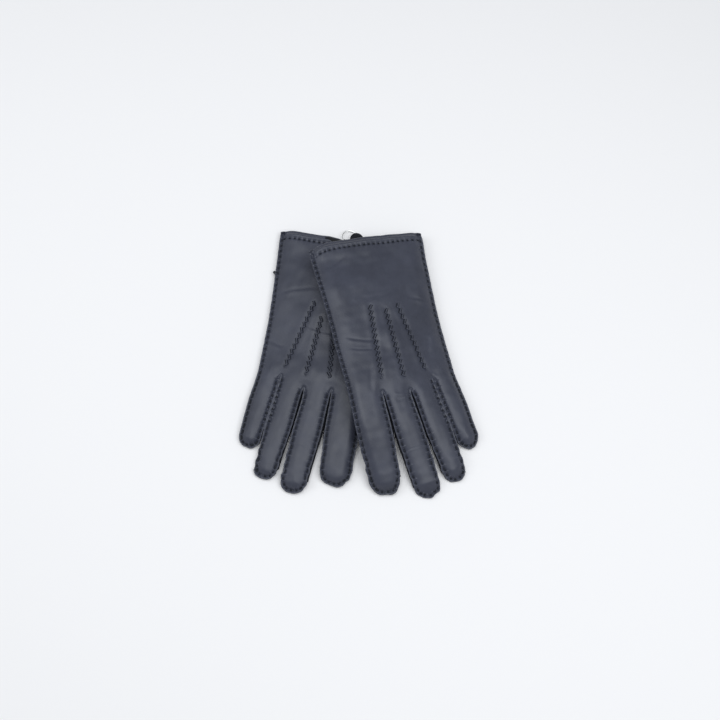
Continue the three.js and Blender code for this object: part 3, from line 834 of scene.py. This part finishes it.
def finish_with(o, key):
    """Gives a piece its material, with the raw edge's on its rims."""
    material_for(key)
    rim = [p.material_index for p in o.data.polygons]
    o.data.materials.clear()
    o.data.materials.append(MATERIALS[key])
    if key in ("back", "palm", "side") and max(rim) > 0:
        o.data.materials.append(material_for("edge"))
        o.data.polygons.foreach_set("material_index", rim)
    return o


# ---- Panels


def bend_with(o):
    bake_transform(o)
    return o


def finish_panel(o, glove, part, top):
    label = "back" if top else "palm"
    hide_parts(f"{glove['side']}_{part}_{label}")
    return finish_with(o, label)


def hand_panel(glove, top):
    rows, curl = (HAND_ROWS, 7) if top else (PALM_ROWS, 5)  # curl: rows in the rolled edge

    def place(u, v):
        k = v * rows
        flat = hand_cut(u, np.clip((k - curl) / (rows - curl), 0, 1))
        p, n = outward(glove, flat, top)
        turn = np.clip(1 - k / curl, 0, 1) * math.pi * 0.9
        y = np.append(glove["y"], 0)
        up = np.array([0, 0, 1.0 if top else -1.0])
        inner = k < curl
        p[inner] += np.outer(ROLL * np.sin(turn[inner]), y) - np.outer(ROLL * (1 - np.cos(turn[inner])), up)
        n[inner] = np.outer(np.cos(turn[inner]), up) + np.outer(np.sin(turn[inner]), y)
        return p, n

    o = sheet_piece(f"{glove['side']}_hand_{'back' if top else 'palm'}_leather", sum(COLUMNS.values()), rows,
                    place, sizes().leather)
    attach(o, f"{glove['side']}_hand")
    return finish_panel(o, glove, "hand", top)


def finger_panel(glove, name, top):
    def place(u, v):
        v = np.where(v < 0.8, v, 0.8 + 0.2 * (1 - (1 - (v - 0.8) / 0.2) ** 1.5))
        flat = finger_cut(name, crowd(u), v)
        return outward(glove, flat, top)

    rows = int(FINGERS[name]["length"] * (2.1 if top else 1.3))
    o = sheet_piece(f"{glove['side']}_{name}_{'back' if top else 'palm'}_leather", COLUMNS[name], rows, place,
                    sizes().leather)
    bend_with(o)
    return finish_panel(o, glove, name, top)


def all_panels(top):
    for glove in GLOVES.values():
        hand_panel(glove, top)
        for name in ORDER:
            finger_panel(glove, name, top)


class GLOVES_OT_backs(bpy.types.Operator):
    """Make the leather over the backs of both hands and all fingers"""
    bl_idname = "gloves.make_backs"
    bl_label = "Back Leather"

    def execute(self, context):
        all_panels(True)
        return {"FINISHED"}


class GLOVES_OT_palms(bpy.types.Operator):
    """Make the leather under both hands and all fingers"""
    bl_idname = "gloves.make_palms"
    bl_label = "Palm Leather"

    def execute(self, context):
        all_panels(False)
        return {"FINISHED"}


# ---- Fourchettes

def slit_width(name, edge, flat):
    """Distance from one side of a finger to the next finger's side."""
    start, end = MARKS[ORDER[ORDER.index(name) + edge]]
    near = PATH[(RUN >= start) & (RUN <= end)]
    gap = flat[:, None, :] - near[None, :, :]
    return np.hypot(gap[..., 0], gap[..., 1]).min(1)


def fourchette(glove, name, edge):
    side = glove["side"]
    label = "out" if edge > 0 else "in"

    def place(u, v):
        v = v * STRIP_END
        flat = finger_cut(name, np.full(len(v), float(edge)), v)
        inner = finger_cut(name, np.zeros(len(v)), v)
        way = inner - flat
        way /= np.hypot(*way.T)[:, None]
        lean = (u + 1) / 2
        bulge = np.minimum(0.5 * slit_width(name, edge, flat), STRIP_BULGE)
        bulge *= 1 - (1.0 if edge > 0 else 0.55) * smoothstep(v, 0.30, 0.58)
        inset = (sizes().seam_inset * 1000 + 0.3) * (1 - np.sin(np.pi * lean)) - bulge * np.sin(np.pi * lean)
        flat = flat + way * inset[:, None]
        high = panel_height(glove, flat, True) - 0.9
        low = panel_height(glove, flat, False) + 0.9
        p = to_world(glove, flat[:, 0], flat[:, 1], low + (np.maximum(high, low + 0.4) - low) * lean)
        out = -(np.outer(glove["hand"] * way[:, 0], glove["x"]) - np.outer(way[:, 1], glove["y"]))
        return p, np.column_stack([out, np.zeros(len(u))])

    o = sheet_piece(f"{side}_{name}_side_strip_{label}", 6, 70, place, sizes().leather * 0.8)
    bend_with(o)
    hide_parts(f"{side}_{name}_fourchette_{label}")
    # the side strips' material is the leather darkened to half, as painted shade
    return finish_with(o, "side")


class GLOVES_OT_fourchettes(bpy.types.Operator):
    """Make the strips of leather between the fingers"""
    bl_idname = "gloves.make_fourchettes"
    bl_label = "Fourchettes"

    def execute(self, context):
        for glove in GLOVES.values():
            for i, name in enumerate(ORDER):
                if i > 0:
                    fourchette(glove, name, -1)
                if i < 3:
                    fourchette(glove, name, 1)
        return {"FINISHED"}


# ---- Lining and hem

def sleeve_piece(name, sides, rows, place, thickness):
    """A tube from a grid whose two long edges meet; place gives points and outward normals."""
    o = sheet_piece(name, sides, rows, place, thickness)
    fresh(o)
    weld = o.modifiers.new("Close", "WELD")
    weld.merge_threshold = 0.00002
    bpy.ops.object.modifier_apply(modifier=weld.name)
    return o


def band_place(glove, cut, v_of, drop):
    """A flat sleeve inside two panels: u from -1 to 0 is under the back, from 0 to 1 over the palm."""
    def place(u, v):
        top = u < 0
        across = np.clip(np.where(top, -1 - 2 * u, 2 * u - 1), -1, 1) * 0.9
        flat = cut(across, v_of(v))
        p, n = np.zeros((len(u), 3)), np.zeros((len(u), 3))
        for face in (True, False):
            mine = top == face
            if mine.any():
                p[mine], n[mine] = outward(glove, flat[mine], face)
                p[mine, 2] += -drop if face else drop
        pinch = smoothstep(np.abs(across), 0.82, 0.9)
        middle = sum(panel_height(glove, flat, face) for face in (True, False)) / 2
        p[:, 2] = p[:, 2] * (1 - pinch) + middle * pinch
        return p, n
    return place


def hand_lining(glove):
    side = glove["side"]
    for name, node_name, cells, v_of, drop, thickness, key, slot in (
            ("hand_lining_knit", "hand_lining", (96, 60), lambda v: HEM_END + v * 0.905, 1.3, 0.0005,
             "lining", "lining"),
            ("cuff_hem_leather", "cuff_hem", (120, 10), lambda v: v * HEM_END, 1.75, 0.0008,
             "back", "back_leather")):
        o = sleeve_piece(f"{side}_{name}", *cells, band_place(glove, hand_cut, v_of, drop), thickness)
        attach(o, f"{side}_hand")
        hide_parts(f"{side}_{node_name}")
        finish_with(o, key)


def finger_lining(glove, name):
    side = glove["side"]
    place = band_place(glove, lambda u, v: finger_cut(name, u, v), lambda v: v * 0.95, 1.2)
    o = sleeve_piece(f"{side}_{name}_lining_knit", 40, 40, place, 0.0004)
    bend_with(o)
    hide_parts(f"{side}_{name}_lining")
    finish_with(o, "lining")


class GLOVES_OT_linings(bpy.types.Operator):
    """Make the knitted linings and the leather turned in at the cuffs"""
    bl_idname = "gloves.make_linings"
    bl_label = "Linings and Hems"

    def execute(self, context):
        for glove in GLOVES.values():
            hand_lining(glove)
            for name in ORDER:
                finger_lining(glove, name)
        return {"FINISHED"}


# ---- Thread

def along_outline(run):
    """The place on the raw edge at a run along it, and the direction inwards."""
    k = np.clip(np.searchsorted(RUN, run, side="right") - 1, 0, len(STEP) - 1)
    t = (run - RUN[k]) / STEP_LENGTH[k]
    p = PATH[k] + STEP[k] * t
    way = STEP[k] / STEP_LENGTH[k]
    return p, np.array([way[1], -way[0]])


def outseam(glove, stretch, top):
    """Stitches along one stretch of the outline, as ends and normals."""
    inset, pitch, length = seam_sizes()
    start, end = MARKS[stretch]
    shift = 0 if top else pitch / 2
    flat = []
    k = math.ceil(start / pitch - 0.5)
    while (k + 0.5) * pitch - shift < end:
        s = (k + 0.5) * pitch - shift
        k += 1
        if s < start or s - length / 2 < RUN[0] + SEAM_END or s + length / 2 > RUN[-1] - SEAM_END:
            continue
        p, inward = along_outline(s)
        if min(math.dist(p + inward * inset, c) for c in CROTCHES) < CROTCH_GAP:
            continue
        for t in (s - length / 2, s + length / 2):
            p, inward = along_outline(t)
            flat.append(p + inward * inset)
    if not flat:
        return [], []
    flat = np.array(flat)
    p, _ = outward(glove, flat, top)
    middle = (flat[0::2] + flat[1::2]) / 2
    m, up = outward(glove, middle, top)
    lift = sizes().thread * 80
    ends = []
    for i in range(len(m)):
        a = np.array([*p[2 * i, :2], m[i, 2]]) + up[i] * lift
        b = np.array([*p[2 * i + 1, :2], m[i, 2]]) + up[i] * lift
        ends.append((a, b))
    return ends, [np.array([0, 0, 1.0 if top else -1.0]) for _ in m]


def point_stitches(glove, side):
    """Slanting stitches in the gutter on one side of each point's ridge."""
    ends, ups = [], []
    for start, way, aside, length in point_frames(glove):
        for m in range(int(length / POINT_PITCH)):
            t = (m + np.array([-0.34, -0.12, 0.12, 0.34]) + 0.5) * POINT_PITCH
            flat = start + np.outer(t, way) + np.outer(point_sway(t) + side * GUTTER, aside)
            p, n = outward(glove, flat, True)
            ends += [(p[i], p[i + 1]) for i in range(3)]
            ups += list(n[:3])
    return ends, ups


def point_ridge(glove):
    """The pinched leather of the three points, in one piece."""
    points, faces = [], []
    sides = RIDGE_SIDES
    for start, way, aside, length in point_frames(glove):
        rows = int(length / RIDGE_STEP)
        t = np.linspace(0, length, rows)
        fade = np.sqrt(np.clip(np.minimum(t, length - t) / 1.2, 0, 1))
        middle = start + np.outer(t, way) + np.outer(point_sway(t), aside)
        base, n = outward(glove, middle, True)
        ahead = np.gradient(base, axis=0)
        ahead /= np.linalg.norm(ahead, axis=1)[:, None]
        over = np.cross(n, ahead)
        first = sum(len(p) for p in points)
        ring = []
        for i in range(sides):
            angle = 2 * math.pi * i / sides
            ring.append(base + over * (RIDGE_WIDTH * fade * math.cos(angle))[:, None]
                        + n * (0.15 + RIDGE_HEIGHT * fade * math.sin(angle))[:, None])
        points.append(np.stack(ring, 1).reshape(-1, 3))
        for r in range(rows - 1):
            for i in range(sides):
                k = (i + 1) % sides
                q = first + r * sides
                faces.append((q + i, q + k, q + sides + k, q + sides + i))
        faces.append(tuple(first + i for i in reversed(range(sides))))
        faces.append(tuple(first + (rows - 1) * sides + i for i in range(sides)))
    return merged_mesh(f"{glove['side']}_points_leather", np.vstack(points), faces)


def hem_stitches(glove, top):
    pitch = sizes().hem_pitch * 1000
    ends, ups = [], []
    k = math.ceil(-CUFF_WIDTH / 2 / pitch)
    while (k + 1) * pitch < CUFF_WIDTH / 2 - 2:
        a = (k + 0.5) * pitch + np.array([-HEM_STITCH, HEM_STITCH])
        k += 1
        if a[0] < -CUFF_WIDTH / 2 + 4:
            continue
        l = HEM_STITCHES + cuff_front(a)
        p, n = outward(glove, np.column_stack([a, l]), top)
        sink = 0.1 if top else -0.4
        ends.append((p[0] + n[0] * sink, p[1] + n[1] * sink))
        ups.append(n.mean(0))
    return ends, ups


def loose_end(glove):
    """The knot and the cut end of the thread on the lower glove's outer seam."""
    a = float(hand_edges(40.0)[1])
    flat = np.array([(a - 1.8, 39.2), (a + 0.3, 39.6), (a + 1.9, 38.2), (a + 1.0, 40.6), (a - 0.8, 41.2)])
    p, _ = outward(glove, flat, True)
    p[:, 2] = p[0, 2] + np.array([0.6, 0.4, -0.6, -0.2, 0.5])
    return [(p[i], p[i + 1]) for i in range(4)], [np.array([0, 0, 1.0])] * 4


def join_runs(runs):
    return sum((r[0] for r in runs), []), sum((r[1] for r in runs), [])


class GLOVES_OT_sewing(bpy.types.Operator):
    """Sew the outseams, the points and the hems"""
    bl_idname = "gloves.sew"
    bl_label = "Thread"

    def execute(self, context):
        radius = sizes().thread * 500
        for glove in GLOVES.values():
            side = glove["side"]
            for name in ORDER:
                runs = [outseam(glove, name, top) for top in (True, False)]
                o = thread_piece(f"{side}_{name}_thread", *join_runs(runs), radius, 0.2)
                bend_with(o)
                finish_with(o, "thread")
            runs = [outseam(glove, s, top) for s in ("hand_in", "hand_out") for top in (True, False)]
            runs += [hem_stitches(glove, True), hem_stitches(glove, False)]
            if side == "right":
                runs.append(loose_end(glove))
            sewn = [(thread_piece(f"{side}_hand_thread", *join_runs(runs), radius, 0.2), "thread")]
            for label, width in POINT_THREADS.items():
                stitches = point_stitches(glove, glove["hand"] if label == "near" else -glove["hand"])
                sewn.append((thread_piece(f"{side}_points_thread_{label}", *stitches, width, 0.0), "thread"))
            sewn.append((point_ridge(glove), "back"))
            for o, key in sewn:
                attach(o, f"{side}_hand")
                finish_with(o, key)
        return {"FINISHED"}


# ---- Thumbs

def thumb_cut(u, v):
    """across and along of a thumb panel, round at both ends."""
    half, base, length = THUMB["width"] / 2, THUMB["base"], THUMB["length"]
    cap = 12.0
    low, high = 0.2, 0.82
    x = np.zeros(len(u))
    y = np.zeros(len(u))
    body = (v >= low) & (v <= high)
    w = (v[body] - low) / (high - low)
    width = base + (half - base) * smoothstep(w, 0, 0.7)
    x[body], y[body] = u[body] * width, w * (length - cap)
    tip = v > high
    x[tip], y[tip] = round_cap(u[tip], (v[tip] - high) / (1 - high), 2.1)
    x[tip], y[tip] = x[tip] * half, length - cap + y[tip] * cap
    heel = v < low
    x[heel], y[heel] = round_cap(u[heel], 1 - v[heel] / low, 2.0)
    x[heel], y[heel] = x[heel] * base, -y[heel] * base
    return x, y


def thumb_surface(glove, u, v, top, drop=0.0):
    x, y = thumb_cut(u, v)
    long, short = np.linspace(0, 1, 40), np.linspace(-1, 1, 30)
    bx, by = thumb_cut(np.r_[np.full(40, -1.0), short, np.full(40, 1.0), short[::-1]],
                       np.r_[long, np.ones(30), long[::-1], np.zeros(30)])
    d = np.full(len(x), 1e9)
    run = np.zeros(len(x))
    steps = np.r_[0, np.cumsum(np.hypot(np.diff(bx), np.diff(by)))]
    for i in range(len(bx) - 1):
        s = np.array([bx[i + 1] - bx[i], by[i + 1] - by[i]])
        q = s @ s
        if q < 1e-12:
            continue
        t = np.clip(((x - bx[i]) * s[0] + (y - by[i]) * s[1]) / q, 0, 1)
        e = np.hypot(x - bx[i] - t * s[0], y - by[i] - t * s[1])
        run = np.where(e < d, steps[i] + t * math.sqrt(q), run)
        d = np.minimum(d, e)
    inset, pitch, length = seam_sizes()
    full = (1 - (1 - np.clip((d - inset - 0.4) / 9, 0, 1)) ** 2.3) ** 0.85
    beat = 1 - smoothstep(stitch_phase(run, pitch), length * 0.38, length * 0.66)
    sewn = -0.5 * bell(d - inset, 0.85) * beat + 0.3 * bell(d - inset - 0.9, 1.7) * (1 - beat)
    middle = THUMB["thick"] / 2
    lean = math.radians(THUMB["lean"])
    a = THUMB["across"] + y * math.sin(lean) + x * math.cos(lean)
    l = THUMB["along"] + y * math.cos(lean) - x * math.sin(lean)
    plane = math.tan(math.radians(glove["tilt"])) * (CUFF_WIDTH / 2 - a)
    plane += glove["lift"] * (1 - smoothstep(THUMB["along"], 0, 90))
    sign = 1 if top else -1
    rise = 0.8 + (middle - 1.1) * full + sewn - drop * full
    return a, l, plane + middle + sign * rise


def thumb_panel(glove, top, drop=0.0):
    def place(u, v):
        v = 0.5 - np.cos(v * np.pi) / 2
        u = crowd(u)
        a, l, z = thumb_surface(glove, u, v, top, drop)
        p = to_world(glove, a, l, z)
        return p, None
    return place


def plain_normals(place, up):
    """Normals of a grid by its neighbours, for a surface that has no formula for them."""
    def wrapped(u, v):
        h = 1e-3
        p = place(u, v)[0]
        pu, mu = place(np.clip(u + h, -1, 1), v)[0], place(np.clip(u - h, -1, 1), v)[0]
        pv, mv = place(u, np.clip(v + h, 0, 1))[0], place(u, np.clip(v - h, 0, 1))[0]
        n = np.cross(pu - mu, pv - mv)
        n /= np.maximum(np.linalg.norm(n, axis=1), 1e-12)[:, None]
        flip = np.sign(n[:, 2]) * np.sign(up)
        return p, n * np.where(flip == 0, 1, flip)[:, None]
    return wrapped


class GLOVES_OT_thumbs(bpy.types.Operator):
    """Make the thumbs that are folded under the palms"""
    bl_idname = "gloves.make_thumbs"
    bl_label = "Thumbs"

    def execute(self, context):
        for glove in GLOVES.values():
            side = glove["side"]
            for top in (True, False):
                label = "back" if top else "palm"
                o = sheet_piece(f"{side}_thumb_{label}_leather", 44, 90,
                                plain_normals(thumb_panel(glove, top), 1 if top else -1), sizes().leather)
                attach(o, f"{side}_thumb")
                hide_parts(f"{side}_thumb_{label}")
                finish_with(o, "palm")
                o = sheet_piece(f"{side}_thumb_lining_{label}", 24, 40,
                                plain_normals(thumb_panel(glove, top, 1.3), 1 if top else -1), 0.0004)
                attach(o, f"{side}_thumb")
                if top:
                    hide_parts(f"{side}_thumb_lining")
                finish_with(o, "lining")
        return {"FINISHED"}


# ---- Hanger

RIBBON = [(-24.0, 106.5, 6.2), (-28.3, 112.4, 6.8), (-30.0, 114.6, 9.2), (-27.6, 113.6, 12.0),
          (-21.5, 111.4, 13.0), (-15.5, 110.0, 12.4), (-12.2, 112.0, 9.4), (-13.5, 114.0, 6.4)]
RIBBON_WIDTH = 4.6


def smooth_path(points, count):
    """Points evenly along a soft curve through the given ones."""
    p = np.array(points, float)
    p = np.vstack([2 * p[0] - p[1], p, 2 * p[-1] - p[-2]])
    at = np.linspace(0, len(points) - 1, count)
    k = np.minimum(at.astype(int), len(points) - 2)
    t = (at - k)[:, None]
    a, b, c, d = p[k], p[k + 1], p[k + 2], p[k + 3]
    return 0.5 * (2 * b + (c - a) * t + (2 * a - 5 * b + 4 * c - d) * t ** 2
                  + (3 * b - a - 3 * c + d) * t ** 3)


def ribbon_piece():
    rows = 80
    line = smooth_path(RIBBON, rows + 1)
    ahead = np.gradient(line, axis=0)
    ahead /= np.linalg.norm(ahead, axis=1)[:, None]
    aside = np.cross(ahead, np.array([0.1, -0.62, 0.78]))
    aside /= np.linalg.norm(aside, axis=1)[:, None]
    face = np.cross(aside, ahead)

    def place(u, v):
        k = np.rint(v * rows).astype(int)
        return line[k] + aside[k] * (u * RIBBON_WIDTH / 2)[:, None], face[k]

    return sheet_piece("hanging_ribbon", 10, rows, place, 0.0005)


class GLOVES_OT_hanger(bpy.types.Operator):
    """Make the ribbon and finish the ring, the button and the thumb collars"""
    bl_idname = "gloves.make_hanger"
    bl_label = "Hanger"

    def execute(self, context):
        o = ribbon_piece()
        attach(o, "right_hand")
        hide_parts("hang_tab")
        finish_with(o, "ribbon")
        for name, key in (("hang_ring", "steel"), ("hang_button", "button"), ("right_thumb_collar", "palm"),
                          ("left_thumb_collar", "palm")):
            o = bpy.data.objects[name]
            fresh(o)
            bpy.ops.object.shade_smooth_by_angle(angle=math.radians(40))
            o.data.materials.clear()
            o.data.materials.append(material_for(key))
        return {"FINISHED"}


# ---- Stage

CAMERA_TARGET = (0.00118, -0.00317, 0.008)
FLOOR_HALF = 6  # half the floor's width
FLOOR_FLAT, FLOOR_RISE = 0.5, 0.16  # where the floor starts to rise behind the gloves, and how fast


class GLOVES_OT_stage(bpy.types.Operator):
    """Make the floor, the lights and the camera"""
    bl_idname = "gloves.make_stage"
    bl_label = "Stage"

    def execute(self, context):
        s = context.scene.glove_stage
        fresh()
        bpy.ops.mesh.primitive_grid_add(x_subdivisions=8, y_subdivisions=60, size=2)
        floor = context.object
        floor.name = "floor"
        for v in floor.data.vertices:
            v.co.x *= FLOOR_HALF
            v.co.y *= FLOOR_HALF
            v.co.z = FLOOR_RISE * max(0, v.co.y - FLOOR_FLAT) ** 2
        floor.data.polygons.foreach_set("use_smooth", np.ones(len(floor.data.polygons), bool))
        pale, _, _ = new_material("Pale Floor", Base_Color=(0.86, 0.845, 0.84, 1), Roughness=0.9)
        floor.data.materials.append(pale)
        world = bpy.data.worlds.new("Room") if context.scene.world is None else context.scene.world
        context.scene.world = world
        world.use_nodes = True
        world.node_tree.nodes["Background"].inputs["Color"].default_value = (0.93, 0.96, 1.0, 1)
        world.node_tree.nodes["Background"].inputs["Strength"].default_value = s.sky
        lamps = [((0.24, -0.14, 1.40), (1.1, 1.9), s.softbox),
                 ((-1.0, 0.2, 0.9), (0.7, 0.7), s.softbox * 0.16)]
        for i, (place, size, power) in enumerate(lamps):
            lamp = bpy.data.lights.new(f"softbox_{i}", "AREA")
            lamp.color = (0.93, 0.965, 1.0)
            lamp.shape, lamp.size, lamp.size_y, lamp.energy = "RECTANGLE", size[0], size[1], power
            o = bpy.data.objects.new(f"softbox_{i}", lamp)
            o.location = place
            o.rotation_euler = (Vector((0, 0, 0)) - Vector(place)).to_track_quat("-Z", "Y").to_euler()
            context.scene.collection.objects.link(o)
        camera = bpy.data.cameras.new("camera")
        camera.lens, camera.sensor_width = 50, 36
        o = bpy.data.objects.new("camera", camera)
        target = Vector(CAMERA_TARGET)
        back = Vector((0, -math.cos(s.elevation), math.sin(s.elevation)))
        o.location = target + back * s.distance
        o.rotation_euler = (-back).to_track_quat("-Z", "Y").to_euler()
        context.scene.collection.objects.link(o)
        context.scene.camera = o
        context.scene.view_settings.view_transform = "Standard"
        return {"FINISHED"}


class GLOVES_PT_panel(bpy.types.Panel):
    bl_label = "Leather Gloves"
    bl_idname = "GLOVES_PT_panel"
    bl_space_type = "VIEW_3D"
    bl_region_type = "UI"
    bl_category = "Gloves"

    def draw(self, context):
        for group in ("glove_sizes", "glove_colours", "glove_stage"):
            settings = getattr(context.scene, group)
            for key in settings.bl_rna.properties.keys():
                if key not in ("rna_type", "name"):
                    self.layout.prop(settings, key)
        for operator in OPERATORS:
            self.layout.operator(operator.bl_idname)


OPERATORS = (GLOVES_OT_backs, GLOVES_OT_palms, GLOVES_OT_fourchettes, GLOVES_OT_linings, GLOVES_OT_sewing,
             GLOVES_OT_thumbs, GLOVES_OT_hanger, GLOVES_OT_stage)
CLASSES = (GloveSizes, GloveColours, StageSettings, *OPERATORS, GLOVES_PT_panel)


def register():
    for c in CLASSES:
        bpy.utils.register_class(c)
    bpy.types.Scene.glove_sizes = bpy.props.PointerProperty(type=GloveSizes)
    bpy.types.Scene.glove_colours = bpy.props.PointerProperty(type=GloveColours)
    bpy.types.Scene.glove_stage = bpy.props.PointerProperty(type=StageSettings)


def unregister():
    del bpy.types.Scene.glove_sizes, bpy.types.Scene.glove_colours, bpy.types.Scene.glove_stage
    for c in reversed(CLASSES):
        bpy.utils.unregister_class(c)


def main():
    register()
    place_gloves()
    bpy.ops.gloves.make_stage()
    bpy.ops.gloves.make_backs()
    bpy.ops.gloves.make_palms()
    bpy.ops.gloves.make_fourchettes()
    bpy.ops.gloves.make_linings()
    bpy.ops.gloves.sew()
    bpy.ops.gloves.make_thumbs()
    bpy.ops.gloves.make_hanger()


if __name__ == "__main__":
    main()
